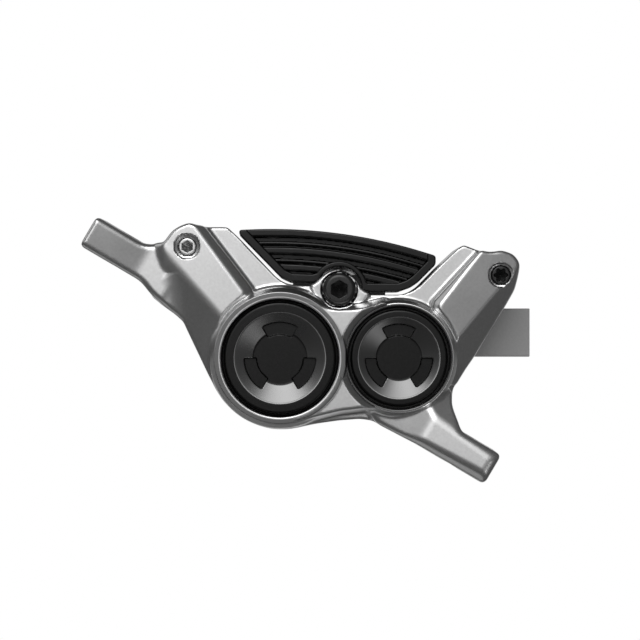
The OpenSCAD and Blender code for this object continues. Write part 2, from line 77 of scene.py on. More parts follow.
def place_of(node):
    """Middle of a node in u and v, to a hundredth of a millimetre."""
    at = middle(node)
    x = at.x - MID_X
    z = at.z - MID_Z
    return round(x * COS + z * SIN, 2), round(z * COS - x * SIN, 2)


def front_of(node, higher=0):
    """Level of a node's front, or of a face higher than it, to a hundredth of a millimetre."""
    return round(-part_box(node)[0].y / MM + higher, 2)


AXLE_V = place_of("pad_axle")[1]
PLUG = place_of("plug_screw")
BLEED = place_of("bleed_screw")

# Levels toward the camera, from the rotor plane. The rings stand 0.4 mm higher than the caps in them, and
# the faces round the tower screws 0.3 mm higher than the screws as built.
LARGE_CAP_FACE = front_of("bore_cap_large")
SMALL_CAP_FACE = front_of("bore_cap_small")
LARGE_RING = front_of("bore_cap_large", 0.4)
SMALL_RING = front_of("bore_cap_small", 0.4)
PLUG_FACE = front_of("plug_screw", 0.3)
BLEED_FACE = front_of("bleed_screw", 0.3)
LAND = 11.5
LEFT_BLOCK = 18
RIGHT_BLOCK = 16.7
WEB_FACE = 18.45
TOWER_BACK = -13
HOUSING_BACK = -17.5
# The body's shell lies this far under its turned rings, and the drawn screws this far under their faces
UNDER_RING = 0.04
UNDER_FACE = 0.35
# Scales a 45 degree bevel's field to a distance
DIAGONAL = 0.707

# Radii of the bosses round the tower screws and of the seats in them
SCREW_BOSS = 4.3
SCREW_SEAT = 2.35

# Radii of the caps and pistons, of the recesses and bores round them, and of the flat rings' outer edges
LARGE_CAP = 10.7
SMALL_CAP = 9.3
LARGE_PISTON = 8.5
SMALL_PISTON = 7.5
CAP_GAP = 0.5
PISTON_GAP = 0.15
LARGE_RECESS = LARGE_CAP + CAP_GAP
SMALL_RECESS = SMALL_CAP + CAP_GAP
LARGE_BORE = LARGE_PISTON + PISTON_GAP
SMALL_BORE = SMALL_PISTON + PISTON_GAP
LARGE_FLAT = 12.5
SMALL_FLAT = 10.45

# Bolt slots: distance from the middle in x, level, radius of their ends, half of their straight length
BOLT_X = 37
BOLT_H = 11
BOLT_RADIUS = 3.3
BOLT_HALF = 1.7

# Hose port: its axis in x and h, the heights of its mouth and its end, its radius and its spot face's
PORT_X = 24.5
PORT_H = -7.5
PORT_TOP = 38
PORT_END = 27
PORT_RADIUS = 3.6
PORT_BOSS = 5.3

# Spacer, whose inner end is round
SPACER_THICK = 1.8
SPACER_TALL = 9.5
SPACER_LONG = 54
SPACER_REACH = 37.5

# Directions of the image's right and up, and toward the camera, in the shared frame
RIGHT = Vector((COS, 0, SIN))
UP = Vector((-SIN, 0, COS))
FRONT = Vector((0, -1, 0))


def to_shared(p):
    """Points of the piston frame as metres in the shared frame."""
    u, v, h = p[:, 0], p[:, 1], p[:, 2]
    x = MID_X + u * COS - v * SIN
    z = MID_Z + u * SIN + v * COS
    return np.stack([x, -h, z], axis=1) * MM


def turn_to_shared(n):
    """Directions of the piston frame in the shared frame."""
    u, v, h = n[:, 0], n[:, 1], n[:, 2]
    return np.stack([u * COS - v * SIN, -h, u * SIN + v * COS], axis=1)


# Shapes are signed distances, below zero inside.


def join(a, b, k):
    """Union of two shapes with a fillet about k wide."""
    blend = np.maximum(k - np.abs(a - b), 0) / k
    return np.minimum(a, b) - blend * blend * k / 4


def meet(a, b, k):
    """Common part of two shapes with an edge rounded about k wide."""
    return -join(-a, -b, k)


def cut(a, b, k):
    """Shape a without shape b."""
    return -join(-a, b, k)


def soft(points, reach, steps=3):
    """The outline with each corner rounded from reach before it to reach after it."""
    points = [np.array(p, float) for p in points]
    out = []
    for i, corner in enumerate(points):
        before = points[i - 1] - corner
        after = points[(i + 1) % len(points)] - corner
        a = before * min(reach / np.linalg.norm(before), 0.45)
        b = after * min(reach / np.linalg.norm(after), 0.45)
        for t in np.linspace(0, 1, steps + 1):
            out.append(corner + a * (1 - t) ** 2 + b * t**2)
    return np.array(out)


def outline_distance(points, a, b):
    """Signed distance to a closed outline."""
    best = np.full(a.shape, np.inf)
    inside = np.zeros(a.shape, bool)
    for (a0, b0), (a1, b1) in zip(points, np.roll(points, -1, axis=0)):
        ea, eb = a1 - a0, b1 - b0
        pa, pb = a - a0, b - b0
        t = np.clip((pa * ea + pb * eb) / (ea * ea + eb * eb), 0, 1)
        best = np.minimum(best, (pa - ea * t) ** 2 + (pb - eb * t) ** 2)
        if eb:
            inside ^= ((b0 > b) != (b1 > b)) & (a < a0 + pb * ea / eb)
    return np.where(inside, -1, 1) * np.sqrt(best)


class Plan:
    """Signed distance to an outline, read off a fine grid made once."""

    def __init__(self, points, reach=0, step=0.2, margin=7):
        points = soft(points, reach) if reach else np.array(points, float)
        self.low = points.min(0) - margin
        count = np.ceil((points.max(0) + margin - self.low) / step).astype(int) + 1
        self.step = step
        self.last = count - 2
        a = self.low[0] + np.arange(count[0])[:, None] * step + np.zeros((1, count[1]))
        b = self.low[1] + np.arange(count[1])[None, :] * step + np.zeros((count[0], 1))
        self.grid = outline_distance(points, a, b)

    def __call__(self, a, b):
        fa = (a - self.low[0]) / self.step
        fb = (b - self.low[1]) / self.step
        i = np.clip(fa.astype(int), 0, self.last[0])
        j = np.clip(fb.astype(int), 0, self.last[1])
        ta = np.clip(fa - i, 0, 1)
        tb = np.clip(fb - j, 0, 1)
        g = self.grid
        near = g[i, j] * (1 - tb) + g[i, j + 1] * tb
        far = g[i + 1, j] * (1 - tb) + g[i + 1, j + 1] * tb
        return near * (1 - ta) + far * ta


def between(h, low, high):
    """The space between two planes."""
    return np.maximum(low - h, h - high)


def sloped(plan, h, top, lean):
    """Walls through an outline at h = top that spread outward by lean degrees below it."""
    lean = math.radians(lean)
    return plan * math.cos(lean) + (h - top) * math.sin(lean)


def falling(u, v, h, start, end, top, tilt):
    """Half space under a face that falls away to the right of the line start to end.

    The face's normal leans tilt degrees from the camera.
    """
    along = np.array(end, float) - np.array(start, float)
    along /= np.linalg.norm(along)
    out = (u - start[0]) * along[1] - (v - start[1]) * along[0]
    tilt = math.radians(tilt)
    return out * math.sin(tilt) + (h - top) * math.cos(tilt)


# From a field to a mesh


def field_slope(field, p, gap):
    """Gradient of a field by central differences."""
    out = np.empty_like(p)
    for axis in range(3):
        step = np.zeros(3)
        step[axis] = gap
        out[:, axis] = (field(p + step) - field(p - step)) / (2 * gap)
    return out


def settle(field, p, reach, rounds=2):
    """Moves points onto the field's surface."""
    for _ in range(rounds):
        g = field_slope(field, p, reach * 0.15)
        move = field(p) / np.maximum((g * g).sum(1), 0.05)
        length = np.abs(move) * np.sqrt((g * g).sum(1))
        move *= np.minimum(1, reach / np.maximum(length, 1e-9))
        p = p - g * move[:, None]
    return p


def in_parts(field, p, size=300000):
    return np.concatenate([field(p[i:i + size]) for i in range(0, len(p), size)])


def surface(field, low, high, cell):
    """Vertices and quads of a field's surface inside a box, by surface nets."""
    # A coarse grid first, and the fine one's values only in its blocks near the surface
    block = 4
    low = np.array(low, float)
    blocks = np.ceil((np.array(high, float) - low) / (cell * block)).astype(int)
    centres = np.stack(np.meshgrid(*[np.arange(n) + 0.5 for n in blocks], indexing="ij"), axis=-1)
    coarse = in_parts(field, low + centres.reshape(-1, 3) * cell * block).reshape(blocks)
    near = np.abs(coarse) < cell * block * 1.25 + 0.15

    def enlarge(a):
        for axis in range(3):
            a = np.repeat(a, block, axis)
        return np.pad(a, [(0, 1)] * 3, mode="edge")

    values = enlarge(coarse)
    wanted = enlarge(near)
    for axis in range(3):
        shifted = np.roll(wanted, 1, axis)
        first = [slice(None)] * 3
        first[axis] = 0
        shifted[tuple(first)] = False
        wanted |= shifted
    ijk = np.argwhere(wanted)
    values[wanted] = in_parts(field, low + ijk * cell)

    # A vertex in each cell that the surface passes through, in the middle of where it crosses the edges
    inside = values < 0
    corners = [np.array((i, j, k)) for i in (0, 1) for j in (0, 1) for k in (0, 1)]
    size = np.array(values.shape) - 1

    def corner_view(a, c):
        return a[c[0]:c[0] + size[0], c[1]:c[1] + size[1], c[2]:c[2] + size[2]]

    count = sum(corner_view(inside, c).astype(np.int8) for c in corners)
    active = (count > 0) & (count < 8)
    cells = np.argwhere(active)
    number = np.full(active.shape, -1)
    number[active] = np.arange(len(cells))
    total = np.zeros((len(cells), 3))
    hits = np.zeros(len(cells))
    for c in corners:
        for axis in range(3):
            if c[axis]:
                continue
            step = np.eye(3, dtype=int)[axis]
            a = values[tuple((cells + c).T)]
            b = values[tuple((cells + c + step).T)]
            crossed = (a < 0) != (b < 0)
            t = np.where(crossed, a / np.where(crossed, a - b, 1), 0)
            total += crossed[:, None] * (c + t[:, None] * step)
            hits += crossed
    points = low + (cells + total / hits[:, None]) * cell

    # A quad round each edge that the surface crosses, facing outward
    quads = []
    for axis in range(3):
        step = np.eye(3, dtype=int)[axis]
        one = np.eye(3, dtype=int)[(axis + 1) % 3]
        two = np.eye(3, dtype=int)[(axis + 2) % 3]
        a = inside[tuple(slice(0, n - s) for n, s in zip(inside.shape, step))]
        b = inside[tuple(slice(s, n) for n, s in zip(inside.shape, step))]
        edges = np.argwhere(a != b)
        edges = edges[((edges - one - two) >= 0).all(1) & ((edges + one + two) < inside.shape).all(1)]
        around = [number[tuple((edges - one * p - two * q).T)] for p, q in ((1, 1), (0, 1), (0, 0), (1, 0))]
        around = np.stack(around, axis=1)
        outward = inside[tuple(edges.T)]
        around[~outward] = around[~outward][:, ::-1]
        quads.append(around)
    quads = np.concatenate(quads)
    return points, quads[(quads >= 0).all(1)]


def build(name, field, low, high, cell, faces, body, node, slot):
    """A mesh piece from a field inside a box, thinned to a number of triangles."""
    points, quads = surface(field, low, high, cell)
    points = settle(field, points, cell * 0.5)
    mesh = bpy.data.meshes.new(name)
    mesh.from_pydata(points, [], quads.tolist())
    obj = bpy.data.objects.new(name, mesh)
    bpy.context.scene.collection.objects.link(obj)
    if len(quads) * 2 > faces:
        thin = obj.modifiers.new("thin", "DECIMATE")
        thin.ratio = faces / (len(quads) * 2)
        graph = bpy.context.evaluated_depsgraph_get()
        obj.data = bpy.data.meshes.new_from_object(obj.evaluated_get(graph))
        obj.modifiers.clear()
        bpy.data.meshes.remove(mesh)
        mesh = obj.data
        mesh.name = name
    flat = np.empty(len(mesh.vertices) * 3)
    mesh.vertices.foreach_get("co", flat)
    points = settle(field, flat.reshape(-1, 3), cell * 0.5, rounds=1)
    normals = turn_to_shared(field_slope(field, points, cell * 0.3))
    normals /= np.maximum(np.linalg.norm(normals, axis=1), 1e-9)[:, None]
    mesh.vertices.foreach_set("co", to_shared(points).ravel())
    mesh.shade_smooth()
    mesh.update()
    mesh.normals_split_custom_set_from_vertices(normals.tolist())
    mesh.materials.append(LOOKS[slot])
    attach(obj, body)
    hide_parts(node)
    print(name, len(mesh.vertices), len(mesh.polygons))


# Node helpers, for the materials and the world


def add(tree, kind, *inputs, **settings):
    """A node. Its inputs are numbers or other nodes' outputs."""
    node = tree.nodes.new(kind)
    for key, setting in settings.items():
        setattr(node, key, setting)
    for socket, given in zip(node.inputs, inputs):
        if isinstance(given, (int, float, tuple)):
            socket.default_value = given
        else:
            tree.links.new(given, socket)
    return node


def calc(tree, op, a, b):
    return add(tree, "ShaderNodeMath", a, b, operation=op).outputs[0]


def ramp(tree, given, low, high):
    """Rises smoothly from 0 at low to 1 at high."""
    return add(tree, "ShaderNodeMapRange", given, low, high, interpolation_type="SMOOTHSTEP").outputs[0]


def grey(level):
    return (level, level, level, 1)


# Materials


def noise(tree, scale, detail=3):
    place = tree.nodes.new("ShaderNodeTexCoord")
    grain = tree.nodes.new("ShaderNodeTexNoise")
    grain.inputs["Scale"].default_value = scale
    grain.inputs["Detail"].default_value = detail
    tree.links.new(place.outputs["Object"], grain.inputs["Vector"])
    return grain.outputs["Fac"]


def spread(tree, fac, low, high):
    """A noise's middle values, mapped to a range."""
    return add(tree, "ShaderNodeMapRange", fac, 0.3, 0.7, low, high).outputs["Result"]


def mix_colours(tree, share, a, b):
    node = tree.nodes.new("ShaderNodeMix")
    node.data_type = "RGBA"
    tree.links.new(share, node.inputs["Factor"])
    for socket, value in ((node.inputs["A"], a), (node.inputs["B"], b)):
        if isinstance(value, tuple):
            socket.default_value = value
        else:
            tree.links.new(value, socket)
    return node.outputs["Result"]


def edge(tree, given, start, end):
    """Rises from 0 at start to 1 at end, both in millimetres."""
    return add(tree, "ShaderNodeMapRange", given, start * MM, end * MM).outputs["Result"]


def round_band(tree, centre_u, low, high, level):
    """1 on a band between two radii round a bore's axis, in front of a level."""
    centre = to_shared(np.array([[centre_u, 0.0, 0.0]]))[0]
    point = tree.nodes.new("ShaderNodeTexCoord").outputs["Object"]
    away = add(tree, "ShaderNodeVectorMath", point, tuple(centre), operation="SUBTRACT").outputs["Vector"]
    across = add(tree, "ShaderNodeVectorMath", away, (1, 0, 1), operation="MULTIPLY").outputs["Vector"]
    radius = add(tree, "ShaderNodeVectorMath", across, operation="LENGTH").outputs["Value"]
    depth = add(tree, "ShaderNodeSeparateXYZ", point).outputs["Y"]
    band = calc(tree, "MULTIPLY", edge(tree, radius, low, low + 0.1), edge(tree, radius, high, high - 0.1))
    return calc(tree, "MULTIPLY", band, edge(tree, depth, -level, -level - 0.05))


LOOKS = {}


def finish(name, dark, light, rough, metallic, grain, bump, gloss=0.5, painted_light_bands=()):
    """The surface of a material slot, with a fine grain in its colour, roughness and relief.

    Its bands are turned bands of painted light, darker ones for painted shade and paler ones for painted
    highlights: bore, inner and outer radius, level, colour.
    """
    look = bpy.data.materials.new(name)
    look.use_nodes = True
    tree = look.node_tree
    tree.nodes.clear()
    out = tree.nodes.new("ShaderNodeOutputMaterial")
    surf = tree.nodes.new("ShaderNodeBsdfPrincipled")
    tree.links.new(surf.outputs[0], out.inputs["Surface"])
    fine = noise(tree, grain)
    wide = noise(tree, 90, 2)
    colour = mix_colours(tree, spread(tree, fine, 0, 1), dark, light)
    # Painted light: each band lays a darker colour for painted shade and a paler one for painted highlights
    for centre_u, low, high, level, painted_tone in painted_light_bands:
        colour = mix_colours(tree, round_band(tree, centre_u, low, high, level), colour, painted_tone)
    tree.links.new(colour, surf.inputs["Base Color"])
    tree.links.new(spread(tree, wide, rough[0], rough[1]), surf.inputs["Roughness"])
    surf.inputs["Metallic"].default_value = metallic
    surf.inputs["Specular IOR Level"].default_value = gloss
    relief = tree.nodes.new("ShaderNodeBump")
    relief.inputs["Strength"].default_value = bump
    relief.inputs["Distance"].default_value = 0.00005
    tree.links.new(fine, relief.inputs["Height"])
    tree.links.new(relief.outputs["Normal"], surf.inputs["Normal"])
    LOOKS[name] = look


# Painted shade: the silver is painted darker on the flat rings round the caps
finish("body_silver", grey(0.62), grey(0.68), (0.28, 0.33), 1, 1800, 0.06, painted_light_bands=[
    (LARGE_U, 11.6, LARGE_FLAT, LARGE_RING - 0.15, grey(0.17)),
    (SMALL_U, 9.6, 10.35, SMALL_RING - 0.3, grey(0.11))])
# Painted sheen on the caps' dishes and a painted highlight in a thin line at each dish's rim
finish("cap_black", grey(0.022), grey(0.026), (0.26, 0.30), 1, 2500, 0.04, painted_light_bands=[
    (LARGE_U, 5.2, 8.6, LARGE_CAP_FACE - 1.45, grey(0.17)),
    (SMALL_U, 4.4, 7.7, SMALL_CAP_FACE - 1.45, grey(0.15)),
    (LARGE_U, 8.55, 8.8, LARGE_CAP_FACE - 0.3, grey(0.30)),
    (SMALL_U, 7.65, 7.9, SMALL_CAP_FACE - 0.3, grey(0.30))])
finish("cooler_black", grey(0.004), grey(0.006), (0.12, 0.16), 0, 1500, 0.03, gloss=0.28)
finish("axle_black", grey(0.014), grey(0.020), (0.22, 0.28), 0.2, 2500, 0.05)
finish("screw_silver", grey(0.55), grey(0.62), (0.22, 0.28), 1, 2500, 0.05)
finish("spacer_grey", grey(0.36), grey(0.39), (0.42, 0.50), 0, 2200, 0.05)
finish("piston_pale", (0.62, 0.59, 0.52, 1), (0.68, 0.65, 0.58, 1), (0.4, 0.5), 0, 900, 0.05)
finish("seal_rubber", grey(0.012), grey(0.018), (0.6, 0.7), 0, 1500, 0.1)
finish("plate_dark", grey(0.07), grey(0.09), (0.38, 0.45), 0.6, 1200, 0.08)
finish("friction", (0.055, 0.048, 0.042, 1), (0.16, 0.14, 0.12, 1), (0.75, 0.9), 0, 1400, 0.5)
finish("spring_steel", grey(0.55), grey(0.62), (0.22, 0.28), 1, 900, 0.04)
finish("floor_pale", grey(0.80), grey(0.82), (0.8, 0.9), 0, 60, 0.0)

# The body. The outlines are in u and v, with the reach of their corners' rounding.
TOWERS = Plan([
    [-21.8, 25.3], [-27, 25.3], [-28.6, 25.8], [-30.5, 25.1], [-31.9, 24.2], [-33.6, 21.9], [-36.5, 21.8],
    [-37.2, 14.6], [-36, 12], [-33.5, 10], [-31.5, 8.8], [-30, 7.2], [-29, 5], [-25, -3.5], [-22.5, -8],
    [-20, -10], [-17.5, -11.6], [-15, -13], [-13, -13.7], [-9.5, -13.8], [-5, -13], [0, -12.3],
    [4, -12], [8, -12.6], [14, -14], [20, -11.5], [21.5, -9], [21.6, -7.5], [22.3, -5.6], [24.3, -2.3],
    [25.9, 0], [32, 10], [33.7, 13], [34.3, 15.5], [34.6, 17.5], [34.3, 18.6], [33.2, 19.9], [31, 20.6],
    [29.5, 20.3], [28, 20.3], [25, 21.5], [23.8, 21.9], [23.3, 21.4], [0, 23]], 0.8)
WINDOW = Plan([
    [-22.4, 25.9], [-19.5, 23.2], [-12.5, 15.8], [-11.3, 14.8], [-10, 14.2], [-8, 13.9], [-5, 13.8],
    [5, 12.1], [12, 12.1], [14, 12.8], [15.5, 13.8], [19.2, 17.6], [23.3, 21.4], [27, 30],
    [-22.4, 30]], 0.6)
BLOCK_LEFT = Plan([
    [-28.4, 26], [-31.9, 25.2], [-33.4, 22], [-32.6, 18.4], [-30.6, 16.4], [-34.5, 10.5], [-38, 8],
    [-28, -5], [-20, -5], [-20, 8], [-18, 12.4]], 0.5)
BLOCK_RIGHT = Plan([
    [29.5, 21.5], [18.9, 10.1], [19.3, 6.5], [20.5, 2.5], [21, -4], [25, -4], [36, 10], [36, 22]], 0.5)
WEB = Plan([
    [-9, 11.6], [-5, 10.6], [-2, 9.4], [2, 9.2], [5, 9.6], [9, 10.6], [9, -9.4], [6.5, -9.3],
    [5, -9.4], [0, -10], [-5, -11.2], [-9, -12.4]], 0.8)
BELL = Plan([
    [-5.8, 13.9], [-4.6, 14.5], [-3.4, 15.7], [-2, 16.6], [0, 17.05], [2, 16.3], [3.3, 14.7],
    [4.4, 13.2], [6.2, 12.2], [3.4, 9], [-3.4, 9]], 0.7)

# Side views of the ears, x and z of the shared frame, and their plans, x and h
LEFT_SIDE = Plan([
    [-45, 0], [-31.3, 0], [-28.3, -1.2], [-25.2, -1.7], [-20, -2.3], [-16, 2], [-21, 10], [-31, 8.5],
    [-34.3, 6.5], [-45, 6.5]], 1.2)
RIGHT_SIDE = Plan([
    [45, 0], [29.4, 0], [21.2, -0.5], [16, 2], [18, 9], [30.5, 12.5], [31.8, 9.9], [34.5, 7.7],
    [35.9, 6.5], [45, 6.5]], 1.2)
LEFT_PLAN = Plan([
    [-45, 3.5], [-45, 18.5], [-33, 16.9], [-26, 16.9], [-18, 14.6], [-16, 3.5]], 0.8)
RIGHT_PLAN = Plan([
    [45, 3.5], [45, 17.7], [43.4, 18.45], [30, 17.8], [27, 16.8], [20, 14.6], [12, 13], [12, 3.5]], 0.8)


def ring_edge(r, h, flat, top):
    """Space inside the sloped outer edge of a flat ring."""
    return (r - flat) * 0.9 + (h - top) * 0.44


def housing(r, h, flat, rim, full, top):
    """A round housing with a flat ring on top, a sloped edge and a drafted wall.

    Its radius is flat at the top, rim below the edge and full where the draft ends.
    """
    wall = r - rim - np.clip((top - 4 - h) * 0.1, 0, full - rim)
    wall = np.maximum(wall, ring_edge(r, h, flat, top))
    wall = meet(wall, h - top, 0.25)
    return meet(wall, HOUSING_BACK - h, 1.5)


def block(plan, u, v, h, side, face, lean, edge_line, tilt, step):
    """The raised outer part of a tower, with a 45 degree bevel as wide as step round it.

    side is -1 on the left and 1 on the right. The facet falls outward by lean degrees from 19 mm off the
    middle, and past edge_line the flank falls away at tilt degrees.
    """
    solid = meet(plan - step, (plan + h - face) * DIAGONAL, 0.4)
    facet = h - face + math.tan(math.radians(lean)) * (side * u - 19)
    solid = meet(solid, facet, 0.5)
    edge_level = face - lean / 9
    return meet(solid, falling(u, v, h, edge_line[0], edge_line[1], edge_level, tilt), 0.28)


def clear_of(r, h, radius, level, up, inward):
    """Space under a cone round a housing. It stands at level at a radius and rises outward."""
    return (h - level) * up - (r - radius) * inward


def caliper(p):
    """Towers, housings, web and ears joined, then what is cut out of them."""
    u, v, h = p[:, 0], p[:, 1], p[:, 2]
    x = MID_X + u * COS - v * SIN
    z = MID_Z + u * SIN + v * COS
    outline = TOWERS(u, v)
    far_left = np.hypot(u - LARGE_U, v)
    far_right = np.hypot(u - SMALL_U, v)
    towers = meet(outline, between(h, TOWER_BACK, LAND), 0.5)

    # Raised blocks with the screws, kept clear of the housings by a groove. The plug's boss is trimmed along
    # the left block's upper side.
    trim = (u + 28.4) * 0.794 + (v - 26) * 0.607
    boss = np.maximum(np.hypot(u - PLUG[0], v - PLUG[1]) - SCREW_BOSS, trim)
    plan = np.minimum(BLOCK_LEFT(u, v), boss)
    left = block(plan, u, v, h, -1, LEFT_BLOCK, 2, ((-27.2, 13.4), (-23, 8)), 19, 1.6)
    left = meet(left, clear_of(far_left, h, 13.2, 16.9, 0.4, 0.92), 0.3)
    boss = np.hypot(u - BLEED[0] + 0.4, v - BLEED[1] - 0.5) - SCREW_BOSS
    plan = np.minimum(BLOCK_RIGHT(u, v), boss)
    right = block(plan, u, v, h, 1, RIGHT_BLOCK, 8, ((23, 3.5), (29.5, 13)), 42, 1.2)
    right = meet(right, clear_of(far_right, h, 11.2, 15.7, 0.5, 0.87), 0.6)
    front = np.maximum(np.minimum(left, right), 8 - h)
    towers = join(towers, front, 0.9)
    towers = meet(towers, outline, 0.7)

    # Housings, and the web between them, which is 1.7 mm shallower behind
    ring_left = housing(far_left, h, LARGE_FLAT, 13.4, 13.7, LARGE_RING - UNDER_RING)
    ring_right = housing(far_right, h, SMALL_FLAT, 11.1, 12.3, SMALL_RING - UNDER_RING)
    depth = np.where(h > 0, h, 1.7 - h)
    web = meet(sloped(WEB(u, v), depth, WEB_FACE, 9), depth - WEB_FACE, 0.5)
    web = np.maximum(web, outline)
    web = cut(web, np.maximum(far_right - 10.35, SMALL_RING - h), 0.25)
    body = join(towers, join(ring_left, ring_right, 0.5), 0.7)
    body = join(body, web, 0.25)

    # Ears. The right one's lower front edge is cut at 45 degrees, and its front falls away toward the root.
    left = meet(LEFT_SIDE(x, z), LEFT_PLAN(x, h), 1.3)
    right = meet(RIGHT_SIDE(x, z), RIGHT_PLAN(x, h), 1.2)
    right = meet(right, (h - 18.4 - z + 1.6) * DIAGONAL, 0.8)
    right = meet(right, (h - 17.9 + (z - 6.2) * 0.55) * 0.88, 0.5)
    ears = np.minimum(left, right)
    body = join(body, ears, 0.8)

    # Window, then the boss that carries the pad axle on each side
    body = cut(body, np.maximum(WINDOW(u, v), between(h, -17.6, 19)), 0.3)
    bell = meet(BELL(u, v), between(np.abs(h), 5.5, 12), 0.7)
    body = join(body, bell, 0.25)
    axle = np.hypot(u, v - AXLE_V)
    body = cut(body, np.maximum(axle - 3.9, 12.2 - h), 0.3)
    body = cut(body, np.maximum(axle - 3.5, 10 - h), 0.2)
    body = cut(body, np.maximum(axle - 3.85, h + 12.5), 0.2)
    body = cut(body, axle - 2.1, 0.1)

    # Bores, with a chamfer at each mouth
    for r, radius, rim, top in (
            (far_left, LARGE_BORE, LARGE_RECESS, LARGE_RING),
            (far_right, SMALL_BORE, SMALL_RECESS, SMALL_RING)):
        mouth = np.maximum(r - rim, 14.9 - h)
        chamfer = (r - rim - 0.4 + top - h) * DIAGONAL
        bore = np.maximum(r - radius, -15.2 - h)
        thread = np.maximum(r - rim + 0.9, 10.8 - h)
        body = cut(body, np.minimum(np.minimum(mouth, chamfer), np.minimum(bore, thread)), 0.12)

    # Room for the pads and the rotor
    pocket = np.maximum(np.maximum(np.abs(u) - 19.9, -10.2 - v), np.abs(h) - 5.55)
    slot = np.maximum(np.abs(h) - 2.5, v - SPACER_TALL - 0.7)
    body = cut(body, np.minimum(pocket, slot), 0.3)

    # Screw seats
    for at, radius, face in ((PLUG, 1.75, PLUG_FACE), (BLEED, 1.85, BLEED_FACE)):
        r = np.hypot(u - at[0], v - at[1])
        seat = np.maximum(r - SCREW_SEAT, (r - radius) * 0.26 + (face - UNDER_FACE - h) * 0.966)
        hole = np.maximum(r - radius, 3.9 - h)
        groove = np.maximum(r - SCREW_SEAT, between(h, face - 3.05, face - 2.15))
        body = cut(body, np.minimum(np.minimum(seat, hole), groove), 0.2)

    # Hose port and bolt slots
    port = np.hypot(x - PORT_X, h - PORT_H)
    body = join(body, meet(port - PORT_BOSS, between(z, PORT_END - 4, PORT_TOP), 0.5), 1.5)
    hole = np.maximum(port - PORT_RADIUS, PORT_END - z)
    spot_face = np.maximum(port - PORT_BOSS, PORT_TOP - z)
    body = cut(body, np.minimum(hole, spot_face), 0.2)
    for side in (-1, 1):
        along = np.maximum(np.abs(h - BOLT_H) - BOLT_HALF, 0)
        body = cut(body, np.hypot(x - side * BOLT_X, along) - BOLT_RADIUS, 0.4)
    return body


build("caliper_body_shell", caliper, (-51, -26, -18.2), (38, 28, 19.4), 0.32, 170000, "caliper",
    "caliper_body", "body_silver")

# Turned rings round the cap recesses, finer than the rest of the body


def turned_ring(centre_u, inner, flat, top):
    """The top 0.7 mm of a housing's flat ring, with crisp edges."""
    def field(p):
        r = np.hypot(p[:, 0] - centre_u, p[:, 1])
        h = p[:, 2]
        flat_top = meet(inner - r, h - top, 0.35)
        ring = meet(flat_top, ring_edge(r, h, flat + 0.03, top), 0.12)
        return np.maximum(ring, top - 0.7 - h)

    return field


for name, centre_u, inner, flat, top in (
        ("large", LARGE_U, LARGE_RECESS, LARGE_FLAT, LARGE_RING),
        ("small", SMALL_U, SMALL_RECESS, SMALL_FLAT, SMALL_RING)):
    reach = flat + 0.6
    build("cap_ring_" + name, turned_ring(centre_u, inner, flat, top),
        (centre_u - reach, -reach, top - 1), (centre_u + reach, reach, top + 0.3), 0.12, 60000,
        "caliper", "caliper_body", "body_silver")

# Bore caps


def bore_cap(centre_u, radius, face, ring, disc, pocket, piston):
    """A turned cap with a dish and three curved tool pockets.

    ring and disc are the dish's outer and inner radii, pocket those of a tool pocket and piston that of
    the piston behind it.
    """
    neck = radius - 0.55
    skirt = piston + 0.4
    bevel = 0.3
    foot = 12.6
    inner_face = 14.65
    shelf = 16.25
    dish = face - 1
    profile = Plan([
        [-6, inner_face], [skirt, inner_face], [skirt, foot], [neck, foot], [neck, shelf], [radius, shelf],
        [radius, face - bevel], [radius - bevel, face], [ring, face], [disc, dish], [-6, dish]],
        reach=0.22, step=0.06, margin=3)
    mid = (pocket[0] + pocket[1]) / 2
    half = (pocket[1] - pocket[0]) / 2
    third = 2 * math.pi / 3

    def field(p):
        du, v, h = p[:, 0] - centre_u, p[:, 1], p[:, 2]
        r = np.hypot(du, v)
        solid = profile(r, h)
        angle = np.arctan2(v, du) - math.pi / 2
        angle = np.abs((angle + third / 2) % third - third / 2)
        across = np.abs(r - mid) - half + 0.3
        along = r * (angle - math.radians(30)) + 0.3
        outside = np.hypot(np.maximum(across, 0), np.maximum(along, 0))
        plan = outside + np.minimum(np.maximum(across, along), 0) - 0.3
        return cut(solid, np.maximum(plan, face - 1.9 - h), 0.12)

    return field


for name, centre_u, radius, face, ring, disc, pocket, piston in (
        ("large", LARGE_U, LARGE_CAP, LARGE_CAP_FACE, 8.65, 5.1, (4.46, 6.86), LARGE_PISTON),
        ("small", SMALL_U, SMALL_CAP, SMALL_CAP_FACE, 7.75, 4.3, (4.28, 6.5), SMALL_PISTON)):
    reach = radius + 0.7
    build("bore_cap_" + name + "_turned", bore_cap(centre_u, radius, face, ring, disc, pocket, piston),
        (centre_u - reach, -reach, 12), (centre_u + reach, reach, face + 0.5), 0.16, 60000,
        "caliper", "bore_cap_" + name, "cap_black")

# Coolers on the pads
FIN_PLAN = Plan([
    [-19.3, 27], [-19.3, 23.7], [-11.4, 15.5], [-9.5, 14.6], [-5, 14.4], [0, 16], [5, 12.7], [11.6, 12.7],
    [13.6, 13.4], [15.1, 14.4], [18.6, 17.9], [18.6, 27]], reach=0.5, step=0.1, margin=4)
FIN_CENTRE = (-13, -74)
FIN_RADIUS = 98.8
FRAME_WIDE = 1.6
# Inner radius of the cooler's arch round the axle, and the arch's width
ARCH = 4.4
ARCH_WIDE = 1
# Each fin's distance below the arched top, its thickness and its level
FINS = ((0, 1.45, 10.6), (2.35, 0.7, 9.2), (3.5, 1.3, 10.4), (5.7, 0.7, 9.0), (6.7, 1.3, 10.2))


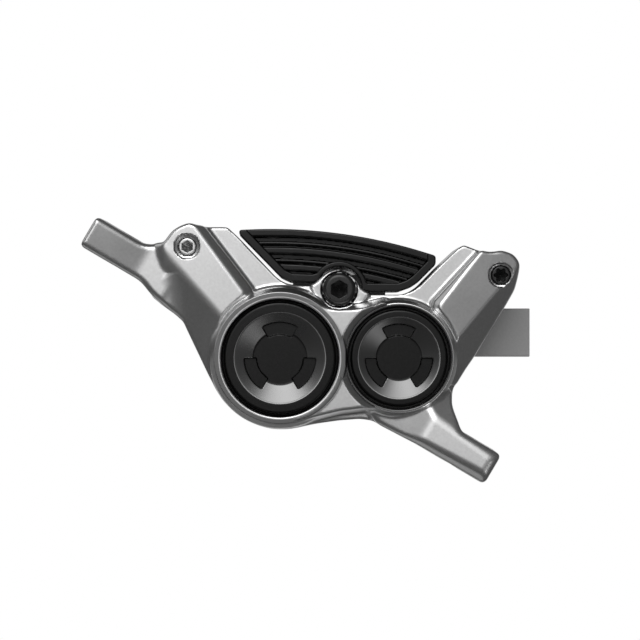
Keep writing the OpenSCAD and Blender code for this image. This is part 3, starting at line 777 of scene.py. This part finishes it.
def cooler(side):
    """A base with a frame and arched fins on it, on one side of the rotor."""
    def field(p):
        u, v, h = p[:, 0], p[:, 1], p[:, 2] * side
        r = np.hypot(u - FIN_CENTRE[0], v - FIN_CENTRE[1])
        from_axle = np.hypot(u, v - AXLE_V)
        shape = FIN_PLAN(u, v)
        plan = meet(shape, r - FIN_RADIUS, 0.5)
        plan = np.maximum(plan, ARCH - from_axle)
        frame_wall = np.maximum(plan, -shape - FRAME_WIDE)
        arch = np.abs(from_axle - ARCH - ARCH_WIDE / 2) - ARCH_WIDE / 2
        frame_wall = meet(np.minimum(frame_wall, np.maximum(plan, arch)), between(h, 5.2, 10.9), 0.25)
        base = np.maximum(plan, between(h, 5.16, 6.2))
        solid = np.minimum(frame_wall, base)
        for drop, thick, top in FINS:
            fin = np.abs(r - FIN_RADIUS + drop + thick / 2) - thick / 2
            solid = np.minimum(solid, meet(np.maximum(fin, plan), between(h, 5.5, top), 0.3))
        return solid

    return field


for way, side, low, high in (("outboard", 1, 4.8, 11.3), ("inboard", -1, -11.3, -4.8)):
    build("cooler_" + way + "_fins", cooler(side), (-20, 12, low), (19.3, 25.4, high), 0.19, 60000,
        "pad_" + way, "pad_cooler_" + way, "cooler_black")

# Pad axle and tower screws


def hexagon(u, v, across):
    """A hexagon with a corner pointing up."""
    u, v = np.abs(u), np.abs(v)
    return np.maximum(u, u * 0.5 + v * 0.866) - across / 2


def axle(p):
    """A round head with a hex socket, the shank, and the clip's groove at its end."""
    u, v, h = p[:, 0], p[:, 1] - AXLE_V, p[:, 2]
    r = np.hypot(u, v)
    head = meet(r - 3.2, between(h, 10.03, 12.7), 0.9)
    shank = meet(r - 2, between(h, -13.7, 11), 0.4)
    groove = np.maximum(1.5 - r, between(h, -13.55, -12.55))
    solid = np.maximum(np.minimum(head, shank), -groove)
    return cut(solid, np.maximum(hexagon(u, v, 3), 10.2 + r * 0.6 - h), 0.12)


build("pad_axle_turned", axle, (-3.6, 9.5, -14), (3.6, 16.7, 13), 0.14, 40000,
    "caliper", "pad_axle", "axle_black")


def plug(p):
    """A screw with a hex socket."""
    u, v, h = p[:, 0] - PLUG[0], p[:, 1] - PLUG[1], p[:, 2]
    r = np.hypot(u, v)
    solid = meet(r - 1.69, between(h, PLUG_FACE - 9.25, PLUG_FACE - UNDER_FACE), 0.3)
    return cut(solid, np.maximum(hexagon(u, v, 2), PLUG_FACE - 2.2 + r * 0.6 - h), 0.1)


def bleed(p):
    """A screw with a six-lobe socket."""
    u, v, h = p[:, 0] - BLEED[0], p[:, 1] - BLEED[1], p[:, 2]
    r = np.hypot(u, v)
    star = r - 1.18 - 0.2 * np.cos(6 * np.arctan2(v, u))
    solid = meet(r - 1.79, between(h, BLEED_FACE - 8.25, BLEED_FACE - UNDER_FACE), 0.3)
    return cut(solid, np.maximum(star, BLEED_FACE - 2.2 + r * 0.6 - h), 0.1)


build("plug_screw_turned", plug, (PLUG[0] - 2, PLUG[1] - 2, 7), (PLUG[0] + 2, PLUG[1] + 2, 17.4), 0.09, 20000,
    "caliper", "plug_screw", "screw_silver")
build("bleed_screw_turned", bleed, (BLEED[0] - 2, BLEED[1] - 2, 6), (BLEED[0] + 2, BLEED[1] + 2, 14.9), 0.09,
    20000, "caliper", "bleed_screw", "axle_black")

# Spacer


def spacer(p):
    """A flat bar with a round inner end."""
    half = SPACER_TALL / 2
    round_u = SPACER_REACH - SPACER_LONG + half
    u, v, h = p[:, 0], p[:, 1] - half, np.abs(p[:, 2])
    square = np.maximum(np.abs(v) - half, u - SPACER_REACH)
    plan = np.maximum(square, np.where(u < round_u, np.hypot(u - round_u, v) - half, -9))
    return meet(plan, h - SPACER_THICK / 2, 0.4)


build("pad_spacer_plate", spacer, (-16.9, -0.5, -1.2), (37.9, 10, 1.2), 0.22, 20000,
    "spacer", "pad_spacer", "spacer_grey")

# Materials of the nodes, of which the seals, pistons, plates, friction blocks and the clip stay as built
for part in frame["record"]["subparts"]:
    mesh = frame["nodes"][part["node"]].data
    mesh.materials.clear()
    mesh.materials.append(LOOKS[part["material_slot"]])

# The pad spring is pressed together as the pads close. Here it is a copy with a mesh of its own, on the
# caliper
leaves = bpy.data.objects.new("pad_spring_leaves", frame["nodes"]["pad_spring"].data.copy())
bpy.context.scene.collection.objects.link(leaves)
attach(leaves, "caliper")
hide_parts("pad_spring")
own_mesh(leaves)

# Floor, in metres, far enough below the part that the photograph's frame shows neither it nor a shadow
FLOOR_HALF = 0.2
FLOOR_DROP = 0.6
sides = ((-1, -1), (1, -1), (1, 1), (-1, 1))
corners = [(x * FLOOR_HALF, y * FLOOR_HALF, -FLOOR_DROP) for x, y in sides]
floor_mesh = bpy.data.meshes.new("floor")
floor_mesh.from_pydata(corners, [], [(0, 1, 2, 3)])
floor_mesh.materials.append(LOOKS["floor_pale"])
floor = bpy.data.objects.new("floor", floor_mesh)
bpy.context.scene.collection.objects.link(floor)

# The camera sees the floor paler than its light makes it; the part doesn't
tree = LOOKS["floor_pale"].node_tree
seen = tree.nodes.new("ShaderNodeLightPath").outputs["Is Camera Ray"]
surf = tree.nodes["Principled BSDF"]
surf.inputs["Emission Color"].default_value = grey(1)
tree.links.new(calc(tree, "MULTIPLY", seen, 0.5), surf.inputs["Emission Strength"])

# Camera, with the point that it looks at and its distance in metres
AIM = to_shared(np.array([[-3.72, 7.23, 11.0]]))[0]
DISTANCE = 0.5
camera_data = bpy.data.cameras.new("camera")
camera_data.sensor_width = 36
camera_data.lens = 146
camera_data.clip_start = 0.01
camera = bpy.data.objects.new("camera", camera_data)
bpy.context.scene.collection.objects.link(camera)
place = Matrix((RIGHT, UP, FRONT)).transposed().to_4x4()
place.translation = Vector(AIM) + FRONT * DISTANCE
camera.matrix_world = place
bpy.context.scene.camera = camera

# Studio


def softbox(name, toward, distance, wide, tall, radiance):
    """An area lamp placed by a direction in the image's right, up and front."""
    direction = (RIGHT * toward[0] + UP * toward[1] + FRONT * toward[2]).normalized()
    data = bpy.data.lights.new(name, "AREA")
    data.shape = "RECTANGLE"
    data.size = wide
    data.size_y = tall
    data.energy = radiance * math.pi * wide * tall
    lamp = bpy.data.objects.new(name, data)
    bpy.context.scene.collection.objects.link(lamp)
    lamp.location = Vector(AIM) + direction * distance
    lamp.rotation_euler = (-direction).to_track_quat("-Z", "Y").to_euler()


# Each lamp's direction, distance, width, height and radiance
softbox("key", (-0.10, 0.52, 0.85), 0.55, 0.34, 0.27, 2.4)
softbox("fill", (0.42, -0.44, 0.79), 0.6, 0.12, 0.12, 1.5)

world = bpy.data.worlds.new("studio")
bpy.context.scene.world = world
world.use_nodes = True
tree = world.node_tree
tree.nodes.clear()
direction = tree.nodes.new("ShaderNodeTexCoord").outputs["Generated"]


def facing(axis):
    """Cosine between the direction looked in and an axis."""
    return add(tree, "ShaderNodeVectorMath", direction, tuple(axis), operation="DOT_PRODUCT").outputs["Value"]


def lobe(at, near, far):
    """1 within one angle of a direction and 0 beyond another, both as cosines."""
    axis = RIGHT * at[0] + UP * at[1] + FRONT * at[2]
    return ramp(tree, facing(axis.normalized()), far, near)


def product(*fields):
    out = fields[0]
    for field in fields[1:]:
        out = calc(tree, "MULTIPLY", out, field)
    return out


# What the metal reflects: a wide field above the camera that fades to the right, a small one on the left and
# one on the lower right, a soft one behind the part, and a dim level all round
right, up, toward = facing(RIGHT), facing(UP), facing(FRONT)
front = product(
    ramp(tree, up, -0.12, 0.10),
    ramp(tree, calc(tree, "SUBTRACT", 0.5, right), 0, 0.85),
    ramp(tree, calc(tree, "ADD", right, 0.45), 0, 0.30),
    ramp(tree, toward, 0.55, 0.85))
rim = lobe((-0.80, 0.52, 0.15), 0.97, 0.85)
low = lobe((0.38, -0.41, 0.80), 0.99, 0.965)
behind = ramp(tree, facing(-FRONT), 0.60, 0.90)
DIM = 0.095
HIGHEST = 1.8
studio = DIM
for field, strength in ((front, 2.05), (rim, 0.6), (low, 0.42), (behind, 0.5)):
    studio = calc(tree, "ADD", studio, product(field, strength))
studio = calc(tree, "MINIMUM", studio, HIGHEST)

# The camera and clear materials see plain white, and matt surfaces a plain grey sky
rays = tree.nodes.new("ShaderNodeLightPath").outputs
glossy = product(rays["Is Glossy Ray"], studio)
diffuse = product(rays["Is Diffuse Ray"], 0.45)
seen = calc(tree, "MAXIMUM", rays["Is Camera Ray"], rays["Is Transmission Ray"])
level = calc(tree, "MAXIMUM", calc(tree, "MAXIMUM", seen, glossy), diffuse)
background = add(tree, "ShaderNodeBackground", level)
out = tree.nodes.new("ShaderNodeOutputWorld")
tree.links.new(background.outputs[0], out.inputs["Surface"])

bpy.context.scene.view_settings.view_transform = "Standard"
